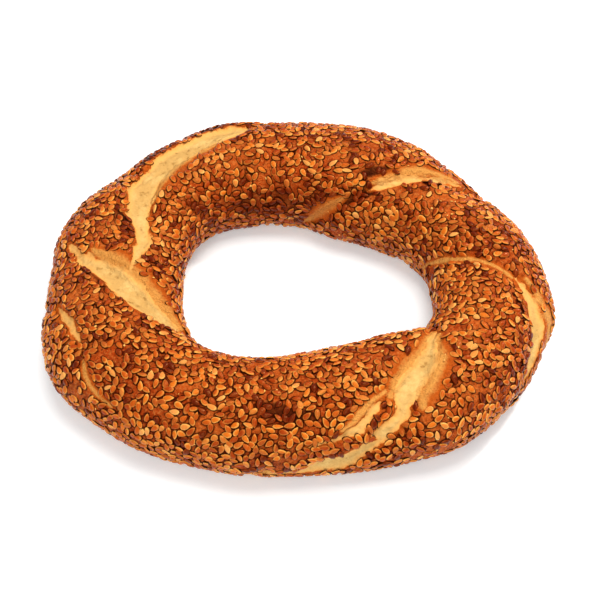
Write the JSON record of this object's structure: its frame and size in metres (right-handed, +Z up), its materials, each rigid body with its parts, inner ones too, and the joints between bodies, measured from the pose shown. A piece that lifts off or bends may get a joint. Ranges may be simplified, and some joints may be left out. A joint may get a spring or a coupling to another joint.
{
  "type": "simit",
  "caption": "Ring of twisted bread dough with a browned crust, pale torn seams and sesame seeds all over, lying on its flat underside.",
  "frame": {"origin": "centre of the ring's outer box, on the plane of its flat underside", "axes": "+Z up out of the underside, +X along the ring's longest way, +Y towards its back"},
  "size_m": [0.1685, 0.1472, 0.0305],
  "materials": {
    "crust": "baked crust, dull with a slight gloss",
    "sesame": "toasted seed coat, slightly glossy"
  },
  "bodies": {
    "root": {"simit": "crust"}
  },
  "joints": []
}
